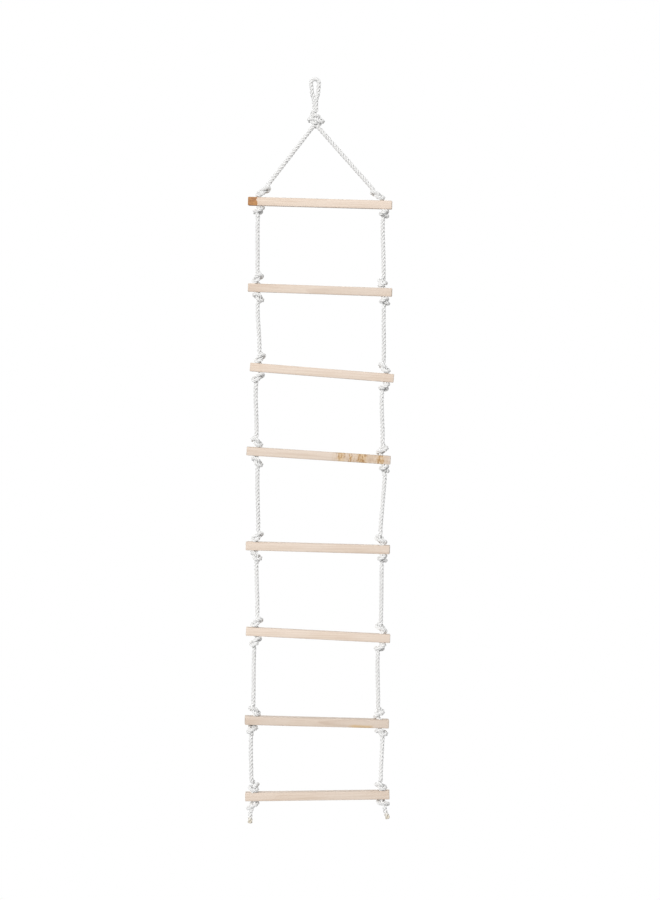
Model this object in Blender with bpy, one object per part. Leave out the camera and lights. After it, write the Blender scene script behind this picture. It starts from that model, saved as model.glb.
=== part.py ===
"""A rope ladder: eight drilled wooden rungs on one knotted rope that hangs from a loop.

The origin is where a hook bears inside the hanging loop, +X runs along the rungs,
+Y goes from the front to the back, and +Z is up. All sizes are in metres.

The rope is one length, doubled at its middle. It is cut into a piece for each stretch
between two bends, so that every bend of the rope can be a hinge. Each pair of touching
rope ends has a ball on the moving side, and the hinge's axis goes through its centre.
"""

import math

import bmesh
import bpy
from mathutils import Euler, Matrix, Vector

# Rope
ROPE_DIAMETER = 0.012
ROPE_SIDES_LEVEL = 2  # a curve's bevel resolution: 2 gives 8 sides
ROPE_STEP = 0.028  # between two points along a stretch of rope
ROUTE_PULL = 0.35  # how far a rope keeps its end's direction, as a share of its length
TOUCH_GAP = 0.0003  # between pieces that touch

# Rungs
RUNG_COUNT = 8
RUNG_LENGTH = 0.422
RUNG_HEIGHT = 0.025
RUNG_DEPTH = 0.025
RUNG_EDGE_RADIUS = 0.0025
LEFT_HOLE_INSET = 0.0305
RIGHT_HOLE_INSET = 0.0255
HOLE_CLEARANCE = 0.0015  # the hole's diameter less the rope's
HOLE_SIDES = 16
FIRST_RUNG_DROP = 0.357  # from the hook to the middle of the first rung
RUNG_SPACING = 0.2476

# How each rung hangs, because the knots are tied by hand: how far it is to the right and
# below its even place in millimetres, then its tilt, roll and yaw in degrees.
RUNG_STANCE = (
    (12.0, 0.5, 2.2, 0.0, -3.0),
    (10.0, 7.0, 2.5, 1.0, -3.0),
    (13.5, 1.5, 5.0, -1.0, 1.0),
    (2.0, -3.5, 4.2, 0.0, 1.0),
    (-2.5, 18.5, 1.7, 1.0, -4.0),
    (-3.7, 26.0, 3.5, -1.0, 1.0),
    (-9.0, 33.0, 2.5, 3.0, 4.0),
    (-9.5, 1.0, -0.5, 2.0, -1.0),
)

# Stopper knots, one above and one below each rung at each end
KNOT_WIDTH = 0.034
KNOT_HEIGHT = 0.026
KNOT_SLACK = 0.003  # between an upper knot and the rung below it
KNOT_STUB = 0.002  # the bare rope above an upper knot
KNOT_SIDES = 8
KNOT_RINGS = 4  # along half a knot
BEND_DROP = 0.018  # from a lower knot to the middle of the bend under it

# How far the rope leaves each knot to the right of its hole in millimetres, because the
# knots lean: above and below each rung on the left, then above and below it on the right.
KNOT_LEANS = (
    (26.0, -1.0, -36.0, 0.0),
    (-5.0, -1.0, -1.0, 3.0),
    (-7.0, -9.0, -8.0, -5.0),
    (-5.0, 5.0, -1.0, 12.0),
    (4.0, 1.0, -3.0, 3.0),
    (0.0, -4.0, -4.0, -8.0),
    (-8.0, -11.0, -8.0, 9.0),
    (-12.0, -17.0, 1.0, 12.0),
)

# Hanging loop
LOOP_EYE_WIDTH = 0.011  # inside the loop's arch
LOOP_CUT_DROP = 0.032  # from the hook to where the loop's arch ends and its neck starts
CUT_EYE_WIDTH = 0.0064  # between the two strands at the cut
CUT_GAP = 0.0007  # between the arch's ends, which slant a little, and the neck
CUT_ANGLE = -8.0  # how far the strands have turned around each other at the cut
NECK_ANGLE = -65.0  # how far they have turned at the bend above the top knot
NECK_BEND_DROP = 0.078  # from the hook to that bend
TOP_KNOT_DROP = 0.1125  # from the hook to the middle of the top knot
TOP_KNOT_DIAMETER = 0.044
TOP_KNOT_SIDES = 16
TOP_KNOT_RINGS = 9
DOME_STEP_DEG = 15
ARCH_POINTS = 11
BRIDLE_ANGLE = 14.0  # of each bridle rope where it leaves the top knot, from straight down

# Tails under the last rung
LEFT_TAIL_LENGTH = 0.0405
RIGHT_TAIL_LENGTH = 0.034
LEFT_TAIL_LEAN = -1.0
RIGHT_TAIL_LEAN = 20.0
TAIL_BEND_DROP = 0.009

ROPE_RADIUS = ROPE_DIAMETER / 2
ARCH_RADIUS = LOOP_EYE_WIDTH / 2 + ROPE_RADIUS
CUT_RADIUS = CUT_EYE_WIDTH / 2 + ROPE_RADIUS
NECK_RADIUS = ROPE_DIAMETER + TOUCH_GAP
LOWER_KNOT_TOP = -RUNG_HEIGHT / 2 - TOUCH_GAP
LOWER_KNOT_FOOT = LOWER_KNOT_TOP - KNOT_HEIGHT
UPPER_KNOT_FOOT = RUNG_HEIGHT / 2 + KNOT_SLACK
UPPER_KNOT_TOP = UPPER_KNOT_FOOT + KNOT_HEIGHT
ROPE_TOP = UPPER_KNOT_TOP + KNOT_STUB
SIDES = {
    "left": -(RUNG_LENGTH / 2 - LEFT_HOLE_INSET),
    "right": RUNG_LENGTH / 2 - RIGHT_HOLE_INSET,
}


def clear_scene():
    for item in list(bpy.data.objects):
        bpy.data.objects.remove(item, do_unlink=True)


def material(name, colour, roughness):
    made = bpy.data.materials.new(name)
    made.use_nodes = True
    shader = made.node_tree.nodes["Principled BSDF"]
    shader.inputs["Base Color"].default_value = (*colour, 1.0)
    shader.inputs["Roughness"].default_value = roughness
    shader.inputs["Metallic"].default_value = 0.0
    return made


def link(name, data, looks):
    item = bpy.data.objects.new(name, data)
    bpy.context.collection.objects.link(item)
    data.materials.append(looks)
    return item


def attach(child, parent):
    """Parents child without moving it."""
    bpy.context.view_layer.update()
    child.parent = parent
    child.matrix_parent_inverse = parent.matrix_world.inverted()
    bpy.context.view_layer.update()


def bend_centre(name, place, parent):
    """An empty on a joint's axis, which carries what moves there."""
    item = bpy.data.objects.new(name, None)
    bpy.context.collection.objects.link(item)
    item.empty_display_size = ROPE_DIAMETER
    item.location = place
    attach(item, parent)
    return item


def smooth_route(start, start_direction, end, end_direction):
    """Points along one smooth curve that leaves start and reaches end in given directions."""
    reach = (end - start).length * ROUTE_PULL
    first = start + start_direction.normalized() * reach
    second = end - end_direction.normalized() * reach
    count = max(3, math.ceil((end - start).length / ROPE_STEP) + 1)
    route = []
    for k in range(count):
        t = k / (count - 1)
        route.append(
            start * (1 - t) ** 3
            + first * 3 * t * (1 - t) ** 2
            + second * 3 * t * t * (1 - t)
            + end * t**3
        )
    return route


def rounded_end(centre, next_point):
    """The points and relative radii of a ball around centre, from its tip inwards."""
    outwards = (centre - next_point).normalized()
    rings = []
    for degrees in (20, 45, 70, 90):
        angle = math.radians(degrees)
        place = centre + outwards * ROPE_RADIUS * math.cos(angle)
        rings.append((place, math.sin(angle)))
    return rings


def rope(name, route, looks, round_start=True, round_end=True):
    """A stretch of rope along a route of points in world space, which starts at its origin.

    A round end is a ball around the route's end, and a flat one is cut there.
    """
    rings = [(point, 1.0) for point in route]
    if round_start:
        rings[:1] = rounded_end(route[0], route[1])
    if round_end:
        rings[-1:] = reversed(rounded_end(route[-1], route[-2]))
    origin = route[0]
    data = bpy.data.curves.new(name, "CURVE")
    data.dimensions = "3D"
    data.bevel_depth = ROPE_RADIUS
    data.bevel_resolution = ROPE_SIDES_LEVEL
    data.use_fill_caps = True
    spline = data.splines.new("POLY")
    spline.points.add(len(rings) - 1)
    for point, (place, radius) in zip(spline.points, rings):
        point.co = (*(place - origin), 1.0)
        point.radius = radius
    item = link(name, data, looks)
    item.location = origin
    return item


def turned(name, profile, sides, looks):
    """A closed solid turned around Z from (radius, height) points, bottom to top."""
    shape = bmesh.new()
    loops = []
    for radius, height in profile:
        if radius < 1e-6:
            loops.append([shape.verts.new((0, 0, height))])
            continue
        turns = [2 * math.pi * k / sides for k in range(sides)]
        loops.append(
            [
                shape.verts.new((radius * math.cos(a), radius * math.sin(a), height))
                for a in turns
            ]
        )
    for lower, upper in zip(loops, loops[1:]):
        for k in range(sides):
            corners = [
                lower[k % len(lower)],
                lower[(k + 1) % len(lower)],
                upper[(k + 1) % len(upper)],
                upper[k % len(upper)],
            ]
            shape.faces.new(list(dict.fromkeys(corners)))
    if len(loops[0]) > 1:
        shape.faces.new(list(reversed(loops[0])))
    if len(loops[-1]) > 1:
        shape.faces.new(loops[-1])
    bmesh.ops.recalc_face_normals(shape, faces=shape.faces)
    data = bpy.data.meshes.new(name)
    shape.to_mesh(data)
    shape.free()
    data.shade_smooth()
    return link(name, data, looks)


def knot_profile(foot, top):
    """(radius, height) points of a knot's bulge, which swells out of the bare rope."""
    middle, half = (foot + top) / 2, (top - foot) / 2
    swell = KNOT_WIDTH / 2 - ROPE_RADIUS
    points = []
    for k in range(2 * KNOT_RINGS + 1):
        angle = math.pi * k / (2 * KNOT_RINGS)
        bulge = math.sin(angle) ** 0.6 if 0 < k < 2 * KNOT_RINGS else 0.0
        points.append((ROPE_RADIUS + swell * bulge, middle - half * math.cos(angle)))
    return points


def rung_matrix(index):
    right, lower, tilt, roll, yaw = RUNG_STANCE[index]
    drop = FIRST_RUNG_DROP + index * RUNG_SPACING + lower / 1000
    turn = Euler([math.radians(a) for a in (roll, tilt, yaw)], "XYZ")
    return Matrix.Translation((right / 1000, 0, -drop)) @ turn.to_matrix().to_4x4()


def add_rung(index, wood):
    """One drilled rung with rounded edges, placed as it hangs."""
    shape = bmesh.new()
    bmesh.ops.create_cube(shape, size=1)
    bmesh.ops.scale(shape, vec=(RUNG_LENGTH, RUNG_DEPTH, RUNG_HEIGHT), verts=shape.verts)
    data = bpy.data.meshes.new(f"rung_{index + 1}")
    shape.to_mesh(data)
    shape.free()
    rung = link(f"rung_{index + 1}", data, wood)
    bevel = rung.modifiers.new("rounded_edges", "BEVEL")
    bevel.width = RUNG_EDGE_RADIUS
    bevel.segments = 2
    for side, place in SIDES.items():
        drill = turned(
            f"drill_{side}_{index + 1}",
            [((ROPE_DIAMETER + HOLE_CLEARANCE) / 2, z * RUNG_HEIGHT) for z in (-1, 1)],
            HOLE_SIDES,
            wood,
        )
        drill.location = (place, 0, 0)
        drill.parent = rung
        drill.hide_render = True
        drill.display_type = "WIRE"
        hole = rung.modifiers.new(f"hole_{side}", "BOOLEAN")
        hole.operation = "DIFFERENCE"
        hole.solver = "EXACT"
        hole.object = drill
    data.shade_smooth()
    data.set_sharp_from_angle(angle=math.radians(35))
    rung.matrix_world = rung_matrix(index)
    return rung


def add_knots(index, side, rung, bend_drop, fibre):
    """Two stopper knots and the rope between them, which goes through a rung's hole."""
    foot = LOWER_KNOT_FOOT - bend_drop + ROPE_RADIUS + TOUCH_GAP
    profile = [(ROPE_RADIUS, foot)]
    profile += knot_profile(LOWER_KNOT_FOOT, LOWER_KNOT_TOP)
    profile += knot_profile(UPPER_KNOT_FOOT, UPPER_KNOT_TOP)
    profile += [(ROPE_RADIUS, ROPE_TOP)]
    knots = turned(f"knots_{side}_{index + 1}", profile, KNOT_SIDES, fibre)
    for corner in knots.data.vertices:
        corner.co.x += lean_at(index, side, corner.co.z)
    knots.parent = rung
    knots.location = (SIDES[side], 0, 0)
    return knots


def lean_at(index, side, height):
    """How far the rope is along the rung from its hole, at a height from the rung's middle."""
    column = (0 if side == "left" else 2) + (0 if height > 0 else 1)
    first = UPPER_KNOT_FOOT if height > 0 else -LOWER_KNOT_TOP
    share = min(1.0, max(0.0, (abs(height) - first) / KNOT_HEIGHT))
    return KNOT_LEANS[index][column] / 1000 * share


def beside_hole(index, side, height):
    """Where the rope is at a height from the rung's middle, outside its knots."""
    return rung_matrix(index) @ Vector((SIDES[side] + lean_at(index, side, height), 0, height))


def rope_bend(index, side, drop):
    """Where the rope bends under a rung's lower knot, and the way it goes down from there."""
    place = beside_hole(index, side, LOWER_KNOT_FOOT - drop)
    return place, rung_matrix(index).to_3x3() @ Vector((0, 0, -1))


def rope_arrival(index, side):
    """The ball centre of a rope that ends on a rung's upper knot, and the hole's way down."""
    place = beside_hole(index, side, ROPE_TOP + TOUCH_GAP + ROPE_RADIUS)
    return place, rung_matrix(index).to_3x3() @ Vector((0, 0, -1))


def add_run(index, side, bend, fibre):
    """The rope between one rung's lower knot and the next rung's upper knot."""
    start, away = rope_bend(index, side, BEND_DROP)
    end, arrival = rope_arrival(index + 1, side)
    straight = (end - start).normalized()
    route = smooth_route(start, straight + away, end, straight + arrival)
    attach(rope(f"run_{side}_{index + 1}", route, fibre), bend)


def strand_place(side, angle, radius, height):
    """A point on one of the loop's two strands, by its angle around Z from its own side."""
    turn = math.radians(angle + (180 if side == "left" else 0))
    return Vector((radius * math.cos(turn), radius * math.sin(turn), height))


def add_loop(fibre):
    """The arch that bears on the hook, and the two strands of the neck under it."""
    arch_centre = ROPE_RADIUS - ARCH_RADIUS
    down = Vector((0, 0, -1))
    legs = {}
    for side in SIDES:
        top = strand_place(side, 0, ARCH_RADIUS, arch_centre)
        cut = strand_place(side, CUT_ANGLE, CUT_RADIUS, -LOOP_CUT_DROP)
        legs[side] = smooth_route(top, down, cut, down)
    arch = []
    for k in range(1, ARCH_POINTS - 1):
        angle = math.pi * (1 - k / (ARCH_POINTS - 1))
        x, z = math.cos(angle) * ARCH_RADIUS, math.sin(angle) * ARCH_RADIUS
        arch.append(Vector((x, 0, arch_centre + z)))
    route = list(reversed(legs["left"])) + arch + legs["right"]
    loop = rope("loop_arch", route, fibre, round_start=False, round_end=False)

    twist = bend_centre("ladder_twist", (0, 0, -LOOP_CUT_DROP), loop)
    reach = NECK_RADIUS + TOUCH_GAP + ROPE_RADIUS
    spread = ROPE_RADIUS + TOUCH_GAP
    foot = -NECK_BEND_DROP + math.sqrt(reach**2 - spread**2)
    head = -LOOP_CUT_DROP - ROPE_RADIUS - CUT_GAP
    for side in SIDES:
        start = strand_place(side, CUT_ANGLE, CUT_RADIUS, head)
        end = strand_place(side, NECK_ANGLE, spread, foot)
        attach(rope(f"loop_neck_{side}", smooth_route(start, down, end, down), fibre), twist)
    return twist


def add_top_knot(parent, fibre):
    """The big knot that closes the loop, with a dome above it where the rope bends."""
    side_bend = bend_centre("side_swing", (0, 0, -NECK_BEND_DROP), parent)
    radius = TOP_KNOT_DIAMETER / 2
    profile = []
    for k in range(TOP_KNOT_RINGS + 1):
        angle = math.pi * k / TOP_KNOT_RINGS
        place = (radius * math.sin(angle), -TOP_KNOT_DROP - radius * math.cos(angle))
        if place[0] >= NECK_RADIUS or place[1] < -TOP_KNOT_DROP:
            profile.append(place)
    for degrees in range(0, 91, DOME_STEP_DEG):
        angle = math.radians(degrees)
        profile.append(
            (
                NECK_RADIUS * math.cos(angle),
                -NECK_BEND_DROP + NECK_RADIUS * math.sin(angle),
            )
        )
    knot = turned("top_knot", profile, TOP_KNOT_SIDES, fibre)
    attach(knot, side_bend)
    return knot


def bridle_start(side):
    """The centre of the ball where a bridle rope leaves the top knot."""
    away = TOP_KNOT_DIAMETER / 2 + ROPE_RADIUS + TOUCH_GAP
    angle = math.radians(BRIDLE_ANGLE)
    height = -TOP_KNOT_DROP - away * math.cos(angle)
    return strand_place(side, 0, away * math.sin(angle), height)


def add_bridle(bend, fibre):
    """The two ropes that spread from the top knot to the first rung."""
    for side in SIDES:
        start = bridle_start(side)
        end, _ = rope_arrival(0, side)
        route = smooth_route(start, end - start, end, end - start)
        attach(rope(f"bridle_{side}", route, fibre), bend)


def add_tail(index, side, length, lean, fibre, rung):
    """A free rope end under the last rung, with its bend just under the knot."""
    start, _ = rope_bend(index, side, TAIL_BEND_DROP)
    bend = bend_centre(f"tail_{side}_bend", start, rung)
    angle = math.radians(lean)
    direction = Vector((math.sin(angle), 0, -math.cos(angle)))
    end = start + direction * (length - TAIL_BEND_DROP)
    route = smooth_route(start, direction, end, direction)
    attach(rope(f"tail_{side}", route, fibre, round_end=False), bend)


def main():
    clear_scene()
    wood = material("beech", (0.74, 0.60, 0.47), 0.6)
    fibre = material("white_rope", (0.86, 0.85, 0.83), 0.8)

    twist = add_loop(fibre)
    top_knot = add_top_knot(twist, fibre)
    middle = (bridle_start("left") + bridle_start("right")) / 2
    bend = bend_centre("front_swing", middle, top_knot)
    add_bridle(bend, fibre)

    for index in range(RUNG_COUNT):
        rung = add_rung(index, wood)
        last = index == RUNG_COUNT - 1
        attach(rung, bend)
        for side in SIDES:
            add_knots(index, side, rung, TAIL_BEND_DROP if last else BEND_DROP, fibre)
        if not last:
            places = [rope_bend(index, side, BEND_DROP)[0] for side in SIDES]
            bend = bend_centre(f"bay_{index + 1}_fold", (places[0] + places[1]) / 2, rung)
            for side in SIDES:
                add_run(index, side, bend, fibre)

    add_tail(RUNG_COUNT - 1, "left", LEFT_TAIL_LENGTH, LEFT_TAIL_LEAN, fibre, rung)
    add_tail(RUNG_COUNT - 1, "right", RIGHT_TAIL_LENGTH, RIGHT_TAIL_LEAN, fibre, rung)


main()
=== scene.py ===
"""The looks of a rope ladder: laid white rope, hand-tied knots and beech rungs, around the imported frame.

All sizes are in metres, in the frame's axes: +X runs along the rungs, +Y from the front to the
back, +Z up, and the origin is where a hook bears inside the hanging loop.

The rope is one length. It goes from its left end up through every rung to the loop, and down
again on the right. It is made in pieces, one for each stretch between two bodies, and each piece
has its own knots. Two pieces meet inside a rung's hole, or inside the loop's neck.
"""

import math

import bmesh
import bpy
import numpy as np
from mathutils import Euler, Matrix, Vector


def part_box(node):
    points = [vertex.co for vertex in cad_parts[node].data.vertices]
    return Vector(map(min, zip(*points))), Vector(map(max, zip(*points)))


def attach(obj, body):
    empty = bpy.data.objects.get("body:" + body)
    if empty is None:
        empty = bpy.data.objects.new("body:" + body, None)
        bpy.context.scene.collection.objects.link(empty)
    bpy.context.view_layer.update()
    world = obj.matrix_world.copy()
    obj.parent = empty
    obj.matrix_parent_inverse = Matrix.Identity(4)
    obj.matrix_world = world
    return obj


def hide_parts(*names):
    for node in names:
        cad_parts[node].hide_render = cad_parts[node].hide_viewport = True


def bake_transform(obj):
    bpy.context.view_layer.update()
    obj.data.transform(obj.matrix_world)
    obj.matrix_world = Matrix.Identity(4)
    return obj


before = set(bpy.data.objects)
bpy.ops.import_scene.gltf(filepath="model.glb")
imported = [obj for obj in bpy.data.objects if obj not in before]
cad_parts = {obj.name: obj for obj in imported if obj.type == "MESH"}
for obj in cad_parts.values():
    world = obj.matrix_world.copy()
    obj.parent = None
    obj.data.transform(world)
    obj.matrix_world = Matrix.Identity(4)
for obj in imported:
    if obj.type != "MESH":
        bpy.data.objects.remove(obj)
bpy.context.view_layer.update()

# The rope's route, as in the CAD source
ROPE_DIAMETER = 0.012
ROPE_RADIUS = ROPE_DIAMETER / 2
TOUCH_GAP = 0.0003
ROUTE_PULL = 0.35
RUNG_COUNT = 8
RUNG_LENGTH = 0.422
RUNG_HEIGHT = 0.025
RUNG_DEPTH = 0.025
HOLE_RADIUS = 0.00675
SIDES = {"left": -0.1805, "right": 0.1855}  # the holes' places along a rung
RUNG_TURNS = (  # how each rung hangs: its roll, tilt and yaw in degrees
    (0, 2.2, -3),
    (1, 2.5, -3),
    (-1, 5.0, 1),
    (0, 4.2, 1),
    (1, 1.7, -4),
    (-1, 3.5, 1),
    (3, 2.5, 4),
    (2, -0.5, -1),
)
KNOT_LEANS = (  # how far the rope leaves each knot to the right of its hole, in millimetres:
    (26, -1, -36, 0),  # above and below the rung on the left, then on the right
    (-5, -1, -1, 3),
    (-7, -9, -8, -5),
    (-5, 5, -1, 12),
    (4, 1, -3, 3),
    (0, -4, -4, -8),
    (-8, -11, -8, 9),
    (-12, -17, 1, 12),
)
LOWER_KNOT_MIDDLE = -0.0258  # from a rung's middle, down its hole
UPPER_KNOT_MIDDLE = 0.0285
BEND_PLACE = -0.0568  # the hinge of the rope under a rung's lower knot
TAIL_BEND_PLACE = -0.0478
ARRIVAL_PLACE = 0.0498  # where the rope comes straight above an upper knot
ARCH_RADIUS = 0.0115
CUT_RADIUS = 0.0092
CUT_ANGLE = -8.0
CUT_DROP = 0.032
NECK_ANGLE = -65.0
NECK_FOOT_DROP = 0.0605
TOP_KNOT_DROP = 0.1125
TAIL_LENGTHS = {"left": 0.0315, "right": 0.025}  # from the bend
TAIL_LEANS = {"left": -1.0, "right": 20.0}

# The rope's make
LAY = 0.033  # one turn of a strand around the rope
STRANDS = 3
STRAND_RADIUS = 0.53 * ROPE_RADIUS  # the fibres swell the rope a little past its size
STRAND_OFFSET = 0.52 * ROPE_RADIUS
STRAND_STEPS = 11  # outline points along one strand's back
STRAND_REACH = 108.0  # degrees of a strand's round that show, to each side of its back
GROOVE_RADIUS = 0.72 * ROPE_RADIUS
RING_STEP = 0.0015
KNOT_SQUEEZE = 0.92  # a pulled knot makes the rope thinner
YARNS = 48  # around the rope

# Knots: rope in the knot, and how close the middles of two touching turns come
KNOT_HALF = 0.020  # from a knot's middle to where the rope is straight again
KNOT_KINDS = {
    "tight": (0.148, 0.0097, 0.0080),
    "full": (0.158, 0.0102, 0.0090),
    "loose": (0.182, 0.0108, 0.0104),
}
KNOT_POINTS = 81
SLACK_KNOT_SIZE = 0.0062  # scale of the slack curve that is pulled tight
SLACK_KNOT_REACH = 0.045  # where the slack rope's ends start, from the knot's middle
KNOT_CLOSENESS = 0.002  # a knot may sit this much nearer its rung than in the CAD
KNOT_END_INSET = 0.006  # at a knot's ends the rope has its full thickness
TOP_KNOT_ROPE = 0.178
TOP_KNOT_TOUCH = 0.0086
TOP_KNOT_FLAT = 0.0190
TOP_KNOT_HEAD = -0.0845
TOP_KNOT_FOOT = (0.0072, -0.1338)  # from the middle, and up
TOP_KNOT_POINTS = 91
SLACK_TOP_KNOT_SIZE = 0.0105
SLACK_ROPE_OFFSET = 0.0063  # of each of the top knot's two ropes from their middle
TOP_KNOT_LEAD = 0.03  # slack rope before and after the top knot
TIGHTENING_ROUNDS = 1200

# Where the rope is cut into pieces in the loop's neck
NECK_SEAM = -0.055  # the height where the loop's piece ends

# The cut ends: how far the strands open, by how much, and how the strands' tips round off
OPENING_LENGTH = 0.026
OPENING_SPREAD = 0.16
TIP_TURNS = (25, 50, 70, 85)  # degrees
TIP_ROUNDNESS = 0.7

# The rungs' make
EDGE_ROUND = 0.0022
HOLE_CHAMFER = 0.0007
HOLE_SIDES = 48
CUTTER_REACH = 0.002  # past the rung's faces

# Each knot as it is tied: its kind, the turn around the rope, its hand and its lean in degrees
UPPER_KNOTS = {
    "left": (
        ("loose", 0, -1, 18),
        ("full", 345, -1, 14),
        ("full", 0, -1, 16),
        ("full", 0, 1, -14),
        ("full", 10, -1, 16),
        ("full", 350, -1, 14),
        ("full", 15, 1, -16),
        ("loose", 60, -1, 0),
    ),
    "right": (
        ("full", 0, 1, -12),
        ("full", 270, 1, 0),
        ("full", 350, 1, -16),
        ("full", 180, 1, 12),
        ("full", 180, -1, -10),
        ("full", 165, -1, -14),
        ("full", 200, 1, 12),
        ("tight", 0, 1, 6),
    ),
}
LOWER_KNOTS = {
    "left": (
        ("tight", 150, 1, 0),
        ("full", 20, 1, -14),
        ("full", 0, -1, 14),
        ("full", 0, 1, -20),
        ("full", 350, 1, -16),
        ("full", 10, -1, 16),
        ("full", 240, 1, 6),
        ("tight", 190, 1, 6),
    ),
    "right": (
        ("full", 90, 1, 0),
        ("full", 80, 1, 5),
        ("full", 120, 1, 8),
        ("full", 95, 1, 0),
        ("full", 100, 1, 4),
        ("full", 130, 1, 10),
        ("tight", 0, 1, 14),
        ("tight", 180, -1, 12),
    ),
}

# The camera's view
VIEW_MIDDLE = (0.0355, -1.0803)  # X and Z at the middle of the picture
VIEW_HEIGHT = 2.635
VIEW_ROLL = 0.447
CAMERA_DISTANCE = 7.2
CAMERA_HEIGHT = -0.80
SENSOR = 36.0
FLOOR_HEIGHT = -2.42
FLOOR_WIDTH = 60.0
SURROUND_LIGHT = 0.46  # on the ladder; the camera sees the surroundings at 1

UP = np.array([0.0, 0.0, 1.0])
DOWN = -UP


# ---------------------------------------------------------------- the camera


def linked(name, data):
    """A new object in the scene."""
    item = bpy.data.objects.new(name, data)
    bpy.context.scene.collection.objects.link(item)
    return item


def add_camera():
    """A level camera with a small downward shift, rolled as the ladder hangs in the picture."""
    roll = math.radians(VIEW_ROLL)
    drop = VIEW_MIDDLE[1] - CAMERA_HEIGHT
    data = bpy.data.cameras.new("camera")
    data.sensor_width = SENSOR
    data.lens = SENSOR * CAMERA_DISTANCE / VIEW_HEIGHT
    data.shift_y = drop / math.cos(roll) / VIEW_HEIGHT
    camera = linked("camera", data)
    camera.location = (VIEW_MIDDLE[0] - drop * math.tan(roll), -CAMERA_DISTANCE, CAMERA_HEIGHT)
    camera.rotation_euler = Euler((math.pi / 2, roll, 0), "XYZ")
    bpy.context.scene.camera = camera


# ---------------------------------------------------------------- routes


def unit(vector):
    """The vector at length 1."""
    return vector / np.linalg.norm(vector)


def rung_place(index):
    """The matrix from a rung's own axes, with X along it and Z along its holes."""
    low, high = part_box(f"rung_{index + 1}")
    turn = Euler([math.radians(a) for a in RUNG_TURNS[index]], "XYZ")
    return Matrix.Translation((low + high) / 2) @ turn.to_matrix().to_4x4()


def moved(matrix, points):
    """Points of shape (n, 3) or (3,) moved by a matrix."""
    m = np.array(matrix)
    return np.asarray(points) @ m[:3, :3].T + m[:3, 3]


def knot_lean(index, side, height):
    """How far the rope is along the rung from its hole, outside the knot above or below it."""
    column = (0 if side == "left" else 2) + (0 if height > 0 else 1)
    return KNOT_LEANS[index][column] / 1000


def in_hole(index, side):
    """The middle of a rung's hole."""
    return moved(rung_place(index), (SIDES[side], 0.0, 0.0))


def beside_hole(index, side, height):
    """Where the rope is outside its knot, by the height from the rung's middle."""
    return moved(rung_place(index), (SIDES[side] + knot_lean(index, side, height), 0.0, height))


def hole_down(index):
    """The way down a rung's holes."""
    return -np.array(rung_place(index).to_3x3())[:, 2]


def bezier(start, start_direction, end, end_direction, step=0.004):
    """Points of the curve that the CAD's rope follows between two bends."""
    reach = np.linalg.norm(end - start) * ROUTE_PULL
    first = start + unit(start_direction) * reach
    second = end - unit(end_direction) * reach
    count = max(4, int(np.linalg.norm(end - start) / step))
    t = np.linspace(0, 1, count)[:, None]
    return start * (1 - t) ** 3 + first * 3 * t * (1 - t) ** 2 + second * 3 * t * t * (1 - t) + end * t**3


def lengths_along(points):
    """How far along its line each point lies."""
    return np.concatenate([[0], np.cumsum(np.linalg.norm(np.diff(points, axis=0), axis=1))])


def evenly(points, count):
    """The same line with count points at even distances."""
    along = lengths_along(points)
    places = np.linspace(0, along[-1], count)
    return np.stack([np.interp(places, along, points[:, k]) for k in range(3)], 1)


def joined(parts):
    """One smooth line through several, with a point every RING_STEP."""
    line = np.concatenate(parts)
    keep = np.concatenate([[True], np.linalg.norm(np.diff(line, axis=0), axis=1) > 1e-5])
    line = line[keep]
    count = int(lengths_along(line)[-1] / RING_STEP * 2)
    line = evenly(line, count)
    for _ in range(8):
        line[1:-1] = line[1:-1] / 2 + (line[:-2] + line[2:]) / 4
    return evenly(line, count // 2)


# ---------------------------------------------------------------- knots


def overhand(size, points):
    """A slack overhand knot around Z: the trefoil as a polynomial curve, from top to bottom."""
    t = np.linspace(-2.02, 2.02, points)
    return size * np.stack([t**3 - 3 * t, t**4 - 4 * t**2 + 2, -0.28 * (t**5 - 10 * t)], 1)


def tighten(ropes, rope_length, touch, heads, feet, flat=None):
    """Pulls slack knots tight: ropes (rope, point, 3) shrink to a length, and turns never cross.

    heads and feet give each rope's fixed ends, as a place and the way into the knot. flat is
    how far a turn's middle may be above or below the knot's own middle.
    """
    many, count, _ = ropes.shape
    start = np.linalg.norm(np.diff(ropes, axis=1), axis=2).sum(1).mean()
    rope_of = np.repeat(np.arange(many), count)
    order = np.tile(np.arange(count), many)
    steps_apart = np.abs(order[:, None] - order[None])
    other_rope = rope_of[:, None] != rope_of[None]
    edge = int(0.12 * count)
    for round_number in range(TIGHTENING_ROUNDS):
        share = min(1.0, round_number / (TIGHTENING_ROUNDS * 0.6))
        step = (start + (rope_length - start) * share) / (count - 1)
        ropes[:, 1:-1] += 0.25 * ((ropes[:, :-2] + ropes[:, 2:]) / 2 - ropes[:, 1:-1])
        flat_list = ropes.reshape(-1, 3)
        between = flat_list[:, None] - flat_list[None]
        distance = np.linalg.norm(between, axis=2) + 1e-12
        apart = other_rope | (steps_apart >= math.ceil(1.5 * touch / step))
        push = np.where(apart & (distance < touch), (touch - distance) / distance / 2, 0)
        crowd = np.maximum((push > 0).sum(1), 1)
        flat_list += (push[:, :, None] * between).sum(1) / crowd[:, None]
        ropes = flat_list.reshape(many, count, 3)
        if flat is not None:
            ropes[:, edge:-edge, 2] = np.clip(ropes[:, edge:-edge, 2], -flat, flat)
        for _ in range(6):
            for odd in (0, 1):
                near, far = ropes[:, odd:-1:2], ropes[:, odd + 1 :: 2]
                pairs = min(near.shape[1], far.shape[1])
                near, far = near[:, :pairs], far[:, :pairs]
                link = far - near
                long = np.linalg.norm(link, axis=2, keepdims=True)
                mend = link / long * (long - step) / 2
                near += mend
                far -= mend
            for rope in range(many):
                for k in range(3):
                    ropes[rope, k] = heads[rope][0] + heads[rope][1] * step * k
                    ropes[rope, -1 - k] = feet[rope][0] + feet[rope][1] * step * k
    return ropes


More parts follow.
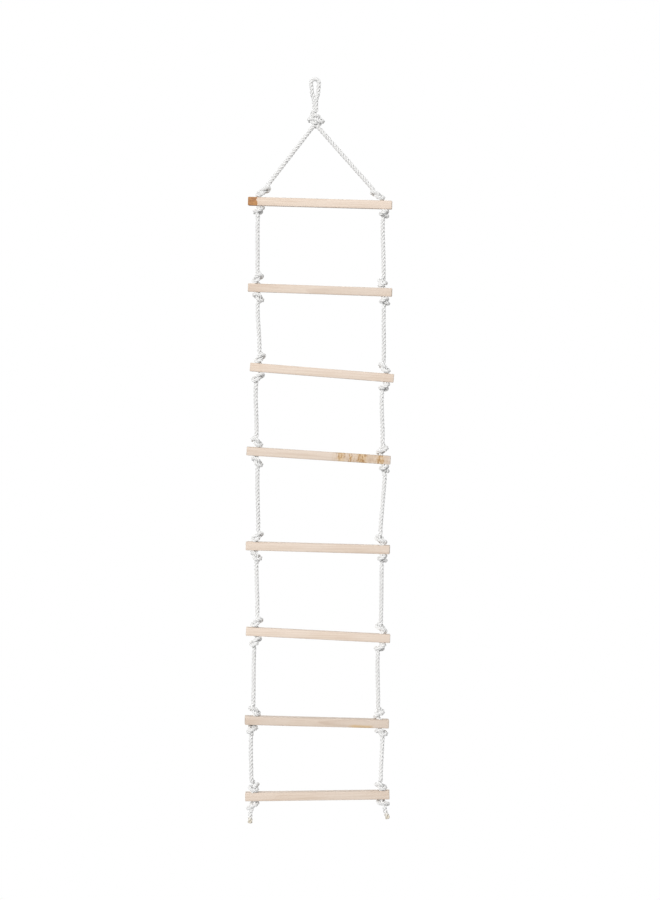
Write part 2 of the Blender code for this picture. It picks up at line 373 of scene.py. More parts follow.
def single_knot(rope_length, touch, flat):
    """An overhand knot in one rope, pulled tight, from +Z down to -Z."""
    core = overhand(SLACK_KNOT_SIZE, KNOT_POINTS - 8)
    top = UP * SLACK_KNOT_REACH
    share = np.linspace(0, 1, 4, endpoint=False)[:, None]
    lead_in = top + (core[0] - top) * share
    lead_out = core[-1] + (-top - core[-1]) * (share + 0.25)
    rope = evenly(np.concatenate([lead_in, core, lead_out]), KNOT_POINTS)
    ends = [(UP * KNOT_HALF, DOWN)], [(DOWN * KNOT_HALF, UP)]
    return tighten(rope[None], rope_length, touch, *ends, flat=flat)[0]


def double_knot(heads, feet):
    """An overhand knot tied with two ropes side by side, which leave it to both sides."""
    core = overhand(SLACK_TOP_KNOT_SIZE, TOP_KNOT_POINTS)
    tangent = np.gradient(core, axis=0)
    tangent /= np.linalg.norm(tangent, axis=1, keepdims=True)
    beside = [unit(np.cross(np.cross(tangent[0], heads[0][0] * (1, 1, 0)), tangent[0]))]
    for k in range(1, TOP_KNOT_POINTS):
        across = beside[-1] - (beside[-1] @ tangent[k]) * tangent[k]
        beside.append(unit(across))
    beside = np.array(beside)
    wanted = np.array([1.0, 0, 0])
    wanted = unit(wanted - (wanted @ tangent[-1]) * tangent[-1])
    turn = math.atan2(np.cross(beside[-1], wanted) @ tangent[-1], beside[-1] @ wanted)
    angle = np.linspace(0, turn, TOP_KNOT_POINTS)[:, None]
    beside = beside * np.cos(angle) + np.cross(tangent, beside) * np.sin(angle)
    ropes = []
    share = np.linspace(0, 1, 5, endpoint=False)[:, None]
    for (head, head_way), (foot, foot_way), hand in zip(heads, feet, (1, -1)):
        line = core + beside * SLACK_ROPE_OFFSET * hand
        top, bottom = head - head_way * TOP_KNOT_LEAD, foot - foot_way * TOP_KNOT_LEAD
        lead_in = top + (line[0] - top) * share
        lead_out = line[-1] + (bottom - line[-1]) * (share + 0.2)
        ropes.append(evenly(np.concatenate([lead_in, line, lead_out]), TOP_KNOT_POINTS))
    return tighten(np.array(ropes), TOP_KNOT_ROPE, TOP_KNOT_TOUCH, heads, feet, TOP_KNOT_FLAT)


SLACK_KNOTS = {kind: single_knot(*sizes) for kind, sizes in KNOT_KINDS.items()}


def tied(kind, turn, hand, lean):
    """A knot's line as it is tied: mirrored by its hand, turned around the rope, and leaning."""
    line = SLACK_KNOTS[kind] * (hand, 1, 1)
    a, b = math.radians(turn), math.radians(lean)
    x = line[:, 0] * math.cos(a) - line[:, 1] * math.sin(a)
    y = line[:, 0] * math.sin(a) + line[:, 1] * math.cos(a)
    z = line[:, 2]
    ends = np.minimum(np.arange(len(line)), np.arange(len(line))[::-1]) / (0.2 * len(line))
    weight = np.clip(ends, 0, 1)
    weight = weight * weight * (3 - 2 * weight)
    leaning = b * weight
    return np.stack(
        [x * np.cos(leaning) - z * np.sin(leaning), y, x * np.sin(leaning) + z * np.cos(leaning)], 1
    )


def knot_on_rung(index, side, upper):
    """A stopper knot's line at its rung, from top to bottom, clear of the rung's face."""
    kinds = UPPER_KNOTS if upper else LOWER_KNOTS
    line = tied(*kinds[side][index])
    rung_side = -KNOT_HALF if upper else KNOT_HALF
    away = np.abs(line[:, 2] - rung_side) / (2 * KNOT_HALF)
    share = np.interp(away, (0, 0.2, 0.8, 1), (0, 0.3, 0.7, 1))
    line[:, 0] += knot_lean(index, side, 1 if upper else -1) * share
    inner = line[12:-12, 2]
    face = RUNG_HEIGHT / 2 + TOUCH_GAP
    radius = ROPE_RADIUS * KNOT_SQUEEZE
    if upper:
        middle = max(UPPER_KNOT_MIDDLE - KNOT_CLOSENESS, face + radius - inner.min())
    else:
        middle = min(LOWER_KNOT_MIDDLE + KNOT_CLOSENESS, -face - radius - inner.max())
    return moved(rung_place(index), line + (SIDES[side], 0, middle))


# ---------------------------------------------------------------- the rope's surface


def rope_outline():
    """Points around a three-strand rope's cross-section, with how deep in a groove each lies.

    Returns the points (n, 2), each point's strand middle (n, 2) and its groove share (n,).
    """
    points, middles, groove = [], [], []
    for strand in range(STRANDS):
        way = 2 * math.pi * strand / STRANDS
        middle = STRAND_OFFSET * np.array([math.cos(way), math.sin(way)])
        for k in range(STRAND_STEPS):
            share = 2 * k / (STRAND_STEPS - 1) - 1
            turn = way + math.radians(STRAND_REACH) * share
            points.append(middle + STRAND_RADIUS * np.array([math.cos(turn), math.sin(turn)]))
            middles.append(middle)
            groove.append(abs(share) ** 3)
        between = way + math.pi / STRANDS
        points.append(GROOVE_RADIUS * np.array([math.cos(between), math.sin(between)]))
        middles.append(points[-1])
        groove.append(1.0)
    return np.array(points), np.array(middles), np.array(groove)


OUTLINE, STRAND_MIDDLES, GROOVE = rope_outline()


def travelling_frames(line):
    """Two directions across the line at each point, which don't turn around it."""
    tangent = np.gradient(line, axis=0)
    tangent /= np.linalg.norm(tangent, axis=1, keepdims=True)
    across = np.zeros_like(line)
    first = np.cross(tangent[0], (0.0, 1.0, 0.0))
    across[0] = unit(first)
    for k in range(1, len(line)):
        step = across[k - 1] - (across[k - 1] @ tangent[k]) * tangent[k]
        across[k] = unit(step)
    return across, np.cross(tangent, across)


class Rope:
    """A whole stretch of laid rope, from which pieces are cut. Its rings are worked out once."""

    def __init__(self, line, squeezed=(), cut_end=False):
        self.line = line
        self.along = lengths_along(line)
        across, beside = travelling_frames(line)
        turn = 2 * math.pi * self.along / LAY
        cos, sin = np.cos(turn)[:, None], np.sin(turn)[:, None]
        self.across = across * cos + beside * sin
        self.beside = beside * cos - across * sin
        self.turn = turn
        self.size = np.ones(len(line))
        for first, last in squeezed:
            inside = np.clip(np.minimum(self.along - first, last - self.along) / 0.012, 0, 1)
            self.size = np.minimum(self.size, 1 - (1 - KNOT_SQUEEZE) * inside)
        self.cut_end = cut_end

    def piece(self, name, first, last):
        """The rope's surface from one ring to another, closed at both ends."""
        rows = range(first, last + 1)
        rings, marks, place = [], [], []
        for k in rows:
            flat = OUTLINE * self.size[k]
            rings.append(self.line[k] + flat[:, :1] * self.across[k] + flat[:, 1:] * self.beside[k])
            marks.append(self.along[k])
            place.append(0.0)
        if self.cut_end and last == len(self.line) - 1:
            rings, marks, place = self.opened_end(rings, marks, place)
        return rope_mesh(name, np.array(rings), np.array(marks), self.turn[first], np.array(place))

    def opened_end(self, rings, marks, place):
        """The last rings of a cut end: the strands part a little, and each has a rounded tip."""
        opening = int(OPENING_LENGTH / RING_STEP)
        count = len(rings)
        for k in range(max(0, count - opening), count):
            share = (k - (count - opening)) / opening
            spread = 1 + OPENING_SPREAD * share
            middle = rings[k].mean(0)
            rings[k] = middle + (rings[k] - middle) * spread
            place[k] = share
        way = unit(self.line[-1] - self.line[-2])
        for degrees in TIP_TURNS:
            a = math.radians(degrees)
            flat = STRAND_MIDDLES + (OUTLINE - STRAND_MIDDLES) * math.cos(a)
            deep = 1 - 0.6 * (GROOVE >= 1)
            rise = STRAND_RADIUS * TIP_ROUNDNESS * math.sin(a) * deep
            flat = flat * (1 + OPENING_SPREAD) * self.size[-1]
            ring = self.line[-1] + flat[:, :1] * self.across[-1] + flat[:, 1:] * self.beside[-1]
            rings.append(ring + way * rise[:, None])
            marks.append(self.along[-1] + STRAND_RADIUS * math.sin(a))
            place.append(1.0)
        return rings, marks, place


def rope_mesh(name, rings, marks, start_turn, cut_share):
    """A closed mesh through rings of points, with a map of the rope's lay for its material."""
    rows, around, _ = rings.shape
    vertices = rings.reshape(-1, 3).tolist()
    quads = []
    for i in range(rows - 1):
        for j in range(around):
            k = (j + 1) % around
            quads.append((i * around + j, i * around + k, (i + 1) * around + k, (i + 1) * around + j))
    first, last = len(vertices), len(vertices) + 1
    vertices.append(rings[0].mean(0).tolist())
    vertices.append(rings[-1].mean(0).tolist())
    end = (rows - 1) * around
    for j in range(around):
        k = (j + 1) % around
        quads.append((first, k, j))
        quads.append((last, end + j, end + k))
    data = bpy.data.meshes.new(name)
    data.from_pydata(vertices, [], quads)
    angle = np.unwrap(np.arctan2(OUTLINE[:, 1], OUTLINE[:, 0])) / (2 * math.pi)
    angle = np.append(angle, angle[0] + 1)
    turned = (start_turn + 2 * math.pi * (marks - marks[0]) / LAY) / (2 * math.pi)
    lay = data.uv_layers.new(name="rope_lay")
    corners = []
    for i in range(rows - 1):
        for j in range(around):
            corners += [
                (angle[j] + turned[i], marks[i]),
                (angle[j + 1] + turned[i], marks[i]),
                (angle[j + 1] + turned[i + 1], marks[i + 1]),
                (angle[j] + turned[i + 1], marks[i + 1]),
            ]
    corners += [(0.0, marks[0])] * (around * 6)
    lay.data.foreach_set("uv", np.array(corners, np.float32).ravel())
    groove = data.attributes.new("groove", "FLOAT", "POINT")
    groove.data.foreach_set("value", np.append(np.tile(GROOVE, rows), (0, 0)).astype(np.float32))
    cut = data.attributes.new("cut_end", "FLOAT", "POINT")
    ends = np.append(np.repeat(cut_share, around), (cut_share[0], cut_share[-1]))
    cut.data.foreach_set("value", ends.astype(np.float32))
    data.shade_smooth()
    data.set_sharp_from_angle(angle=math.radians(80))
    return linked(name, data)


# ---------------------------------------------------------------- materials


class Nodes:
    """A few short words for building a material's nodes."""

    def __init__(self, name):
        self.material = bpy.data.materials.new(name)
        self.material.use_nodes = True
        self.tree = self.material.node_tree
        self.shader = self.tree.nodes["Principled BSDF"]

    def add(self, kind, inputs=(), **settings):
        """A node with its settings; inputs are (socket, value or another node's output)."""
        node = self.tree.nodes.new(kind)
        for key, value in settings.items():
            setattr(node, key, value)
        for socket, value in dict(inputs).items():
            self.put(node.inputs[socket], value)
        return node

    def put(self, socket, value):
        if isinstance(value, bpy.types.NodeSocket):
            self.tree.links.new(value, socket)
        else:
            socket.default_value = value

    def math(self, operation, a, b=0.0):
        return self.add("ShaderNodeMath", {0: a, 1: b}, operation=operation).outputs[0]

    def mix(self, share, a, b):
        """Colour a where share is 0 and colour b where it is 1."""
        node = self.add("ShaderNodeMix", data_type="RGBA")
        for socket, value in zip((node.inputs[0], node.inputs[6], node.inputs[7]), (share, a, b)):
            self.put(socket, value)
        return node.outputs[2]

    def between(self, value, low, high):
        """0 below low and 1 above high, smoothly."""
        node = self.add(
            "ShaderNodeMapRange", {0: value, 1: low, 2: high}, interpolation_type="SMOOTHSTEP"
        )
        return node.outputs[0]

    def noise(self, vector, scale, detail):
        inputs = {"Vector": vector, "Scale": scale, "Detail": detail}
        return self.add("ShaderNodeTexNoise", inputs).outputs["Fac"]

    def opposite(self, share):
        """1 where share is 0, and 0 where it is 1."""
        return self.math("SUBTRACT", 1.0, share)

    def stretched(self, vector, scale, turn=(0, 0, 0), shift=(0, 0, 0)):
        node = self.add(
            "ShaderNodeMapping",
            {"Vector": vector, "Location": shift, "Rotation": turn, "Scale": scale},
        )
        return node.outputs[0]


def rope_material():
    """White laid rope: fine yarns along the rope, painted shade in its grooves and between its yarns, and
    loose fibre.
    """
    n = Nodes("white_rope")
    lay = n.add("ShaderNodeUVMap", uv_map="rope_lay").outputs[0]
    parts = n.add("ShaderNodeSeparateXYZ", {0: lay})
    around, along = parts.outputs[0], parts.outputs[1]
    groove = n.add("ShaderNodeAttribute", attribute_name="groove").outputs["Fac"]
    cut = n.add("ShaderNodeAttribute", attribute_name="cut_end").outputs["Fac"]
    place = n.add("ShaderNodeCombineXYZ", {0: n.math("MULTIPLY", around, 0.0377), 1: along}).outputs[0]
    waver = n.noise(place, 260.0, 2.0)
    phase = n.math("ADD", n.math("MULTIPLY", around, 2 * math.pi * YARNS), n.math("MULTIPLY", waver, 5.0))
    yarn = n.math("MULTIPLY", n.math("ADD", n.math("SINE", phase), 1.0), 0.5)
    fibre = n.noise(n.stretched(place, (2600.0, 420.0, 1.0)), 1.0, 2.0)
    soil = n.noise(place, 34.0, 3.0)
    white = n.mix(n.between(soil, 0.35, 0.75), (0.93, 0.93, 0.925, 1), (0.89, 0.885, 0.875, 1))
    # Painted shade: the colour darkens towards the bottom of each groove between the strands
    shade = n.mix(n.math("MULTIPLY", groove, 0.26), white, (0.58, 0.57, 0.55, 1))
    # Painted shade: the colour darkens in the valleys between the yarns, where the bump is lowest
    yarn_valley_shade = n.mix(n.math("MULTIPLY", n.opposite(yarn), 0.10), shade, (0.60, 0.58, 0.54, 1))
    tip = n.mix(n.math("MULTIPLY", n.between(cut, 0.05, 0.9), 0.85), yarn_valley_shade, (0.72, 0.65, 0.52, 1))
    n.put(n.shader.inputs["Base Color"], tip)

    height = n.math("ADD", n.math("MULTIPLY", yarn, 0.7), n.math("MULTIPLY", fibre, 0.5))
    bump = n.add("ShaderNodeBump", {"Height": height, "Strength": 0.55, "Distance": 0.0004})
    n.put(n.shader.inputs["Normal"], bump.outputs[0])
    n.shader.inputs["Roughness"].default_value = 0.82
    n.shader.inputs["Sheen Weight"].default_value = 0.25
    n.shader.inputs["Sheen Roughness"].default_value = 0.5
    n.shader.inputs["Specular IOR Level"].default_value = 0.25
    return n.material


WOOD_BRIGHTNESS = (0.99, 0.91, 0.96, 0.91, 0.92, 0.96, 0.88, 0.90)  # from the first rung down


def wood_material(index, stains):
    """Beech with growth rings, ray flecks and long streaks; stains add a rung's own marks."""
    n = Nodes(f"beech_{index + 1}")
    grain = n.add("ShaderNodeAttribute", attribute_name="grain").outputs["Vector"]
    end = n.add("ShaderNodeAttribute", attribute_name="end_grain").outputs["Fac"]
    shift = (0.37 * index, 0.031 + 0.011 * ((index * 5) % 4), 0.052 - 0.017 * ((index * 3) % 5))
    tilt = (0, 0.22 - 0.07 * (index % 4), -0.3 + 0.08 * (index % 5))
    ringed = n.stretched(grain, (0.09, 1.0, 1.0), tilt, shift)
    rings = n.add(
        "ShaderNodeTexWave",
        {"Vector": ringed, "Scale": 62.0, "Distortion": 3.2, "Detail": 2.0, "Detail Scale": 0.5},
        wave_type="RINGS",
        rings_direction="X",
        wave_profile="SAW",
    ).outputs["Fac"]
    streak = n.noise(n.stretched(grain, (9.0, 330.0, 330.0), shift=shift), 1.0, 4.0)
    fleck = n.noise(n.stretched(grain, (330.0, 2300.0, 2300.0), shift=shift), 1.0, 1.0)
    cloud = n.noise(n.stretched(grain, (7.0, 34.0, 34.0), shift=shift), 1.0, 2.0)
    bright = WOOD_BRIGHTNESS[index]
    pale, tan, fleck_tone, cream = (
        (bright * red, bright * green, bright * blue, 1)
        for red, green, blue in (
            (0.82, 0.69, 0.575),
            (0.66, 0.51, 0.40),
            (0.52, 0.37, 0.27),
            (0.86, 0.745, 0.65),
        )
    )
    colour = n.mix(n.math("MULTIPLY", n.between(rings, 0.35, 1.0), 0.50), pale, tan)
    colour = n.mix(n.math("MULTIPLY", n.between(streak, 0.42, 0.72), 0.50), colour, tan)
    colour = n.mix(n.math("MULTIPLY", n.between(cloud, 0.4, 0.7), 0.40), colour, cream)
    flecks = n.between(fleck, 0.60, 0.70)
    colour = n.mix(n.math("MULTIPLY", flecks, 0.40), colour, fleck_tone)
    for stain in stains:
        colour = stain(n, grain, colour)
    colour = n.mix(n.math("MULTIPLY", end, 0.45), colour, (0.50, 0.38, 0.27, 1))
    n.put(n.shader.inputs["Base Color"], colour)

    height = n.math("SUBTRACT", n.math("MULTIPLY", streak, 0.8), n.math("MULTIPLY", flecks, 0.5))
    height = n.math("ADD", height, n.math("MULTIPLY", rings, 0.2))
    bump = n.add("ShaderNodeBump", {"Height": height, "Strength": 0.35, "Distance": 0.0003})
    n.put(n.shader.inputs["Normal"], bump.outputs[0])
    rough = n.add("ShaderNodeMapRange", {0: streak, 1: 0.3, 2: 0.7, 3: 0.52, 4: 0.68}).outputs[0]
    n.put(n.shader.inputs["Roughness"], rough)
    n.shader.inputs["Specular IOR Level"].default_value = 0.35
    return n.material


def heartwood_end(n, grain, colour):
    """The brown heartwood at the left end of the first rung."""
    x = n.add("ShaderNodeSeparateXYZ", {0: grain}).outputs[0]
    wave = n.noise(n.stretched(grain, (60.0, 130.0, 130.0)), 1.0, 2.0)
    edge = n.math("ADD", x, n.math("MULTIPLY", wave, -0.012))
    inside = n.opposite(n.between(edge, -0.1905, -0.1885))
    mottle = n.noise(n.stretched(grain, (70.0, 260.0, 260.0)), 1.0, 4.0)
    brown = n.mix(n.between(mottle, 0.3, 0.7), (0.33, 0.13, 0.035, 1), (0.52, 0.25, 0.08, 1))
    return n.mix(n.math("MULTIPLY", inside, 0.95), colour, brown)


def amber_figure(n, grain, colour):
    """Four amber blotches, with fainter ones around them, on the right half of the fourth rung."""
    x = n.add("ShaderNodeSeparateXYZ", {0: grain}).outputs[0]
    edge = n.noise(n.stretched(grain, (130.0, 110.0, 110.0), shift=(3.1, 0.4, 0.0)), 1.0, 5.0)
    place = n.math("ADD", x, n.math("MULTIPLY", n.math("SUBTRACT", edge, 0.5), 0.036))
    spots = 0.0
    for middle, half in ((0.066, 0.011), (0.093, 0.005), (0.127, 0.015), (0.180, 0.010)):
        away = n.math("ABSOLUTE", n.math("SUBTRACT", place, middle))
        spot = n.opposite(n.between(away, 0.45 * half, 1.5 * half))
        spots = n.math("MAXIMUM", spot, spots)
    zone = n.math("MULTIPLY", n.between(place, 0.03, 0.06), n.opposite(n.between(place, 0.19, 0.21)))
    mottle = n.noise(n.stretched(grain, (260.0, 120.0, 120.0), shift=(0.7, 0.0, 0.0)), 1.0, 4.0)
    amber = n.mix(n.between(mottle, 0.35, 0.65), (0.36, 0.17, 0.04, 1), (0.72, 0.50, 0.24, 1))
    strength = n.math("MAXIMUM", spots, n.math("MULTIPLY", zone, 0.35))
    strength = n.math("MULTIPLY", strength, n.between(mottle, 0.85, 0.44))
    return n.mix(n.math("MULTIPLY", strength, 0.85), colour, amber)


def yellow_edge(n, grain, colour):
    """A yellow patch on the lower edge of the seventh rung's right half."""
    parts = n.add("ShaderNodeSeparateXYZ", {0: grain})
    x, z = parts.outputs[0], parts.outputs[2]
    wave = n.noise(n.stretched(grain, (24.0, 60.0, 60.0)), 1.0, 2.0)
    height = n.math("ADD", z, n.math("MULTIPLY", wave, -0.008))
    patch = n.opposite(n.between(height, -0.011, -0.007))
    patch = n.math("MULTIPLY", patch, n.between(x, 0.085, 0.11))
    patch = n.math("MULTIPLY", patch, n.opposite(n.between(x, 0.150, 0.172)))
    return n.mix(n.math("MULTIPLY", patch, 0.7), colour, (0.66, 0.45, 0.21, 1))


STAINS = {0: (heartwood_end,), 3: (amber_figure,), 6: (yellow_edge,)}


# ---------------------------------------------------------------- rungs


def drill(side):
    """A cutter for one hole with broken edges, placed in a rung's own axes."""
    half = RUNG_HEIGHT / 2
    mouth = HOLE_RADIUS + HOLE_CHAMFER + CUTTER_REACH
    profile = [
        (mouth, half + CUTTER_REACH),
        (HOLE_RADIUS, half - HOLE_CHAMFER),
        (HOLE_RADIUS, -half + HOLE_CHAMFER),
        (mouth, -half - CUTTER_REACH),
    ]
    shape = bmesh.new()
    turns = [2 * math.pi * k / HOLE_SIDES for k in range(HOLE_SIDES)]
    rings = []
    for radius, height in profile:
        ring = [(radius * math.cos(a), radius * math.sin(a), height) for a in turns]
        rings.append([shape.verts.new(place) for place in ring])
    for upper, lower in zip(rings, rings[1:]):
        for k in range(HOLE_SIDES):
            after = (k + 1) % HOLE_SIDES
            shape.faces.new((upper[k], lower[k], lower[after], upper[after]))
    shape.faces.new(rings[0])
    shape.faces.new(list(reversed(rings[-1])))
    bmesh.ops.recalc_face_normals(shape, faces=shape.faces)
    data = bpy.data.meshes.new("drill")
    shape.to_mesh(data)
    shape.free()
    cutter = linked("drill", data)
    cutter.location = (SIDES[side], 0, 0)
    return cutter


def rung_mesh():
    """A planed bar with rounded edges and two drilled holes, in its own axes."""
    shape = bmesh.new()
    bmesh.ops.create_cube(shape, size=1)
    bmesh.ops.scale(shape, vec=(RUNG_LENGTH, RUNG_DEPTH, RUNG_HEIGHT), verts=shape.verts)
    bmesh.ops.bevel(
        shape, geom=shape.edges[:], offset=EDGE_ROUND, segments=4, profile=0.5, affect="EDGES"
    )
    data = bpy.data.meshes.new("rung")
    shape.to_mesh(data)
    shape.free()
    bar = linked("rung", data)
    cutters = [drill(side) for side in SIDES]
    for cutter in cutters:
        hole = bar.modifiers.new("hole", "BOOLEAN")
        hole.operation = "DIFFERENCE"
        hole.solver = "EXACT"
        hole.object = cutter
    graph = bpy.context.evaluated_depsgraph_get()
    made = bpy.data.meshes.new_from_object(bar.evaluated_get(graph))
    for item in (bar, *cutters):
        bpy.data.objects.remove(item, do_unlink=True)
    return made


def add_rung(index, blank):
    """A rung with its own grain and marks, which rides its section."""
    data = blank.copy()
    data.name = f"wood_rung_{index + 1}"
    places = np.array([v.co for v in data.vertices])
    grain = data.attributes.new("grain", "FLOAT_VECTOR", "POINT")
    grain.data.foreach_set("vector", places.astype(np.float32).ravel())
    ends = data.attributes.new("end_grain", "FLOAT", "POINT")
    on_end = (np.abs(places[:, 0]) > RUNG_LENGTH / 2 - 0.0004).astype(np.float32)
    ends.data.foreach_set("value", on_end)
    data.transform(rung_place(index))
    data.materials.clear()
    data.materials.append(wood_material(index, STAINS.get(index, ())))
    data.shade_smooth()
    data.set_sharp_from_angle(angle=math.radians(30))
    item = linked(f"wood_rung_{index + 1}", data)
    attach(item, f"section_{index + 1}")
    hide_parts(f"rung_{index + 1}")
    return item


# ---------------------------------------------------------------- the rope's pieces


def finish_rope(piece, looks):
    """Gives a rope piece the rope's material.
    """
    piece.data.materials.append(looks)


def hole_to_knot(index, side, knot):
    """The straight rope from a rung's middle to its lower knot."""
    return np.array([in_hole(index, side), knot[0]])


def add_bay(index, side, looks):
    """The rope from the middle of one rung's hole to the middle of the next rung's hole."""
    lower = knot_on_rung(index, side, upper=False)
    upper = knot_on_rung(index + 1, side, upper=True)
    bend, away = beside_hole(index, side, BEND_PLACE), hole_down(index)
    arrival, down = beside_hole(index + 1, side, ARRIVAL_PLACE), hole_down(index + 1)
    straight = unit(arrival - bend)
    run = bezier(bend, straight + away, arrival, straight + down)
    line = joined([hole_to_knot(index, side, lower), lower, run, upper, [in_hole(index + 1, side)]])
    rope = Rope(line, squeezed=knot_spans(line, lower, upper))
    name = f"rope_{side}_{index + 1}"
    last = len(line) - 1
    piece = rope.piece(name, 0, last)
    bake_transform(piece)
    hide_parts(f"run_{side}_{index + 1}", f"knots_{side}_{index + 2}")
    finish_rope(piece, looks)


def knot_spans(line, *knots):
    """Where along a line each of its knots starts and ends."""
    along = lengths_along(line)
    spans = []
    for knot in knots:
        first = np.linalg.norm(line - knot[0], axis=1).argmin()
        last = np.linalg.norm(line - knot[-1], axis=1).argmin()
        low, high = sorted((along[first], along[last]))
        spans.append((low + KNOT_END_INSET, high - KNOT_END_INSET))
    return spans


def strand_place(side, angle, radius, height):
    """A point on one of the loop's two strands, by its angle around Z from its own side."""
    turn = math.radians(angle + (180 if side == "left" else 0))
    return np.array([radius * math.cos(turn), radius * math.sin(turn), height])


def top_knot_ends():
    """Where the two ropes enter and leave the top knot, as places and ways into the knot."""
    middle = DOWN * TOP_KNOT_DROP
    heads, feet = [], []
    for side in ("right", "left"):
        head = strand_place(side, NECK_ANGLE, ROPE_RADIUS + TOUCH_GAP, TOP_KNOT_HEAD)
        heads.append((head - middle, DOWN))
        foot = strand_place(side, 0, *TOP_KNOT_FOOT)
        arrival = beside_hole(0, side, ARRIVAL_PLACE)
        feet.append((foot - middle, -unit(arrival - foot)))
    return heads, feet


def add_top(looks):
    """The hanging loop, its neck, the top knot and the bridle, as one rope cut in five."""
    heads, feet = top_knot_ends()
    knots = double_knot(heads, feet) + DOWN * TOP_KNOT_DROP
    arch_middle = ROPE_RADIUS - ARCH_RADIUS
    halves = {}
    for side, knot in zip(("right", "left"), knots):
        top = strand_place(side, 0, ARCH_RADIUS, arch_middle)
        cut = strand_place(side, CUT_ANGLE, CUT_RADIUS, -CUT_DROP)
        foot = strand_place(side, NECK_ANGLE, ROPE_RADIUS + TOUCH_GAP, -NECK_FOOT_DROP)
        leg = bezier(top, DOWN, cut, DOWN)
        neck = bezier(cut, DOWN, foot, DOWN)
        upper = knot_on_rung(0, side, upper=True)
        arrival = beside_hole(0, side, ARRIVAL_PLACE)
        straight = unit(arrival - knot[-1])
        bridle = bezier(knot[-1], straight, arrival, straight)
        halves[side] = ([leg, neck, knot, bridle, upper, [in_hole(0, side)]], knot, upper)
    turns = np.linspace(math.pi, 0, 24)[1:-1]
    arch = np.stack([ARCH_RADIUS * np.cos(turns), 0 * turns, arch_middle + ARCH_RADIUS * np.sin(turns)], 1)
    left = [np.asarray(part)[::-1] for part in reversed(halves["left"][0])]
    line = joined([*left, arch, *halves["right"][0]])
    spans = []
    for side in SIDES:
        spans += knot_spans(line, halves[side][1], halves[side][2])
    rope = Rope(line, squeezed=spans)
    middle = len(line) // 2
    crown = middle - 200 + int(line[middle - 200 : middle + 200, 2].argmax())
    neck_seam, knot_seam = {}, {}
    for side, way in (("left", -1), ("right", 1)):
        k = crown
        while line[k, 2] > NECK_SEAM:
            k += way
        neck_seam[side] = k
        core = halves[side][1][len(halves[side][1]) // 2]
        knot_seam[side] = int(np.linalg.norm(line - core, axis=1).argmin())

    loop = rope.piece("rope_loop", neck_seam["left"], neck_seam["right"])
    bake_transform(loop)
    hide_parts("loop_arch")
    finish_rope(loop, looks)
    for side in SIDES:
        first, last = sorted((neck_seam[side], knot_seam[side]))
        neck = rope.piece(f"rope_neck_{side}", first, last)
        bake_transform(neck)
        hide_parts(f"loop_neck_{side}", "top_knot")
        finish_rope(neck, looks)
    for side in SIDES:
        first, last = sorted((knot_seam[side], 0 if side == "left" else len(line) - 1))
        bridle = rope.piece(f"rope_bridle_{side}", first, last)
        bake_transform(bridle)
        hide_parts(f"bridle_{side}", f"knots_{side}_1")
        finish_rope(bridle, looks)


def add_tail(side, looks):
    """The rope's end under the last rung, with its lower knot."""
    index = RUNG_COUNT - 1
    lower = knot_on_rung(index, side, upper=False)
    bend = beside_hole(index, side, TAIL_BEND_PLACE)
    lean = math.radians(TAIL_LEANS[side])
    direction = np.array([math.sin(lean), 0, -math.cos(lean)])
    tip = bend + direction * (TAIL_LENGTHS[side] - 0.002)
    line = joined([hole_to_knot(index, side, lower), lower, bezier(bend, direction, tip, direction)])
    rope = Rope(line, squeezed=knot_spans(line, lower), cut_end=True)
    last = len(line) - 1
    piece = rope.piece(f"rope_tail_{side}", 0, last)
    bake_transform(piece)
    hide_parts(f"tail_{side}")
    finish_rope(piece, looks)


# ---------------------------------------------------------------- light and stage


def add_sun(name, strength, spread, way):
    """A soft, even light that shines along way."""
    data = bpy.data.lights.new(name, "SUN")
    data.energy = strength
    data.angle = math.radians(spread)
    lamp = linked(name, data)
    lamp.rotation_euler = Vector(way).to_track_quat("-Z", "Y").to_euler()


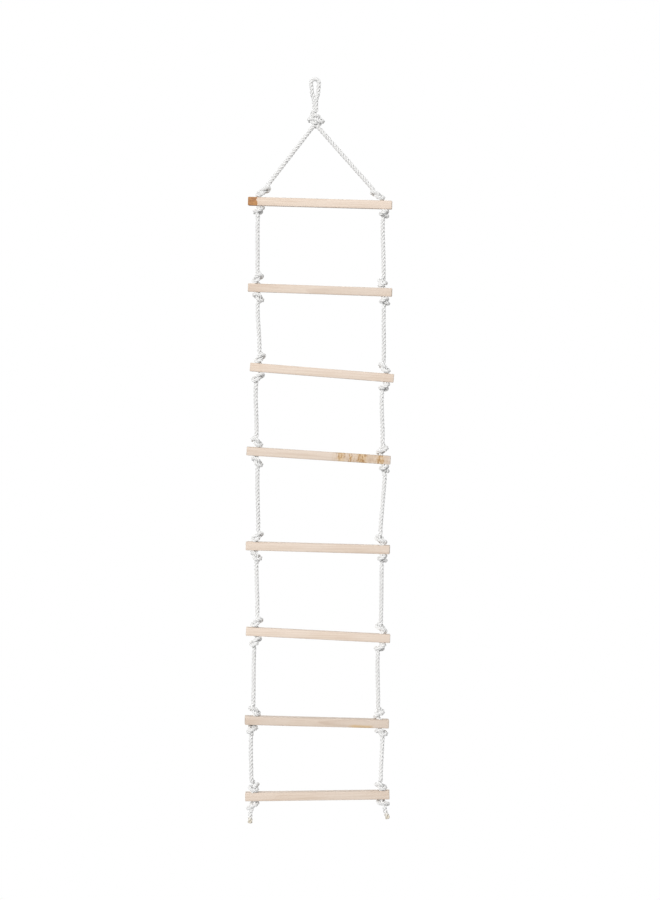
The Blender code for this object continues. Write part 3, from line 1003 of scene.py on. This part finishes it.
def add_stage():
    """A pale floor, white surroundings and soft studio lights.

    The camera sees the floor and the surroundings as white, and the ladder gets less of their
    light, so that the edges of the white rope show.
    """
    n = Nodes("floor")
    n.shader.inputs["Base Color"].default_value = (0.45, 0.45, 0.45, 1)
    n.shader.inputs["Roughness"].default_value = 0.9
    glow = n.add("ShaderNodeEmission", {"Color": (1, 1, 1, 1), "Strength": 1.0}).outputs[0]
    seen = n.add("ShaderNodeLightPath").outputs["Is Camera Ray"]
    mixed = n.add("ShaderNodeMixShader", {0: seen, 1: n.shader.outputs[0], 2: glow}).outputs[0]
    n.tree.links.new(mixed, n.tree.nodes["Material Output"].inputs["Surface"])
    data = bpy.data.meshes.new("floor")
    half = FLOOR_WIDTH / 2
    corners = [(-half, -half, 0), (half, -half, 0), (half, half, 0), (-half, half, 0)]
    data.from_pydata(corners, [], [(0, 1, 2, 3)])
    data.materials.append(n.material)
    floor = linked("floor", data)
    floor.location = (0, 0, FLOOR_HEIGHT)

    world = bpy.data.worlds.new("studio")
    bpy.context.scene.world = world
    world.use_nodes = True
    tree = world.node_tree
    tree.nodes.clear()
    out = tree.nodes.new("ShaderNodeOutputWorld")
    mix = tree.nodes.new("ShaderNodeMixShader")
    path = tree.nodes.new("ShaderNodeLightPath")
    for socket, strength in ((1, SURROUND_LIGHT), (2, 1.0)):
        background = tree.nodes.new("ShaderNodeBackground")
        background.inputs[0].default_value = (1, 1, 1, 1)
        background.inputs[1].default_value = strength
        tree.links.new(background.outputs[0], mix.inputs[socket])
    tree.links.new(path.outputs["Is Camera Ray"], mix.inputs[0])
    tree.links.new(mix.outputs[0], out.inputs[0])

    add_sun("key", 2.2, 25, (0.36, 0.88, -0.31))
    add_sun("fill", 0.30, 60, (-0.75, 0.6, 0.2))
    add_sun("back", 0.9, 50, (0.3, -0.8, -0.5))
    bpy.context.scene.view_settings.view_transform = "Standard"


# ---------------------------------------------------------------- making


add_camera()
white_rope = rope_material()
add_top(white_rope)
for bay in range(RUNG_COUNT - 1):
    for hand in SIDES:
        add_bay(bay, hand, white_rope)
for hand in SIDES:
    add_tail(hand, white_rope)
rung_blank = rung_mesh()
for number in range(RUNG_COUNT):
    add_rung(number, rung_blank)
add_stage()
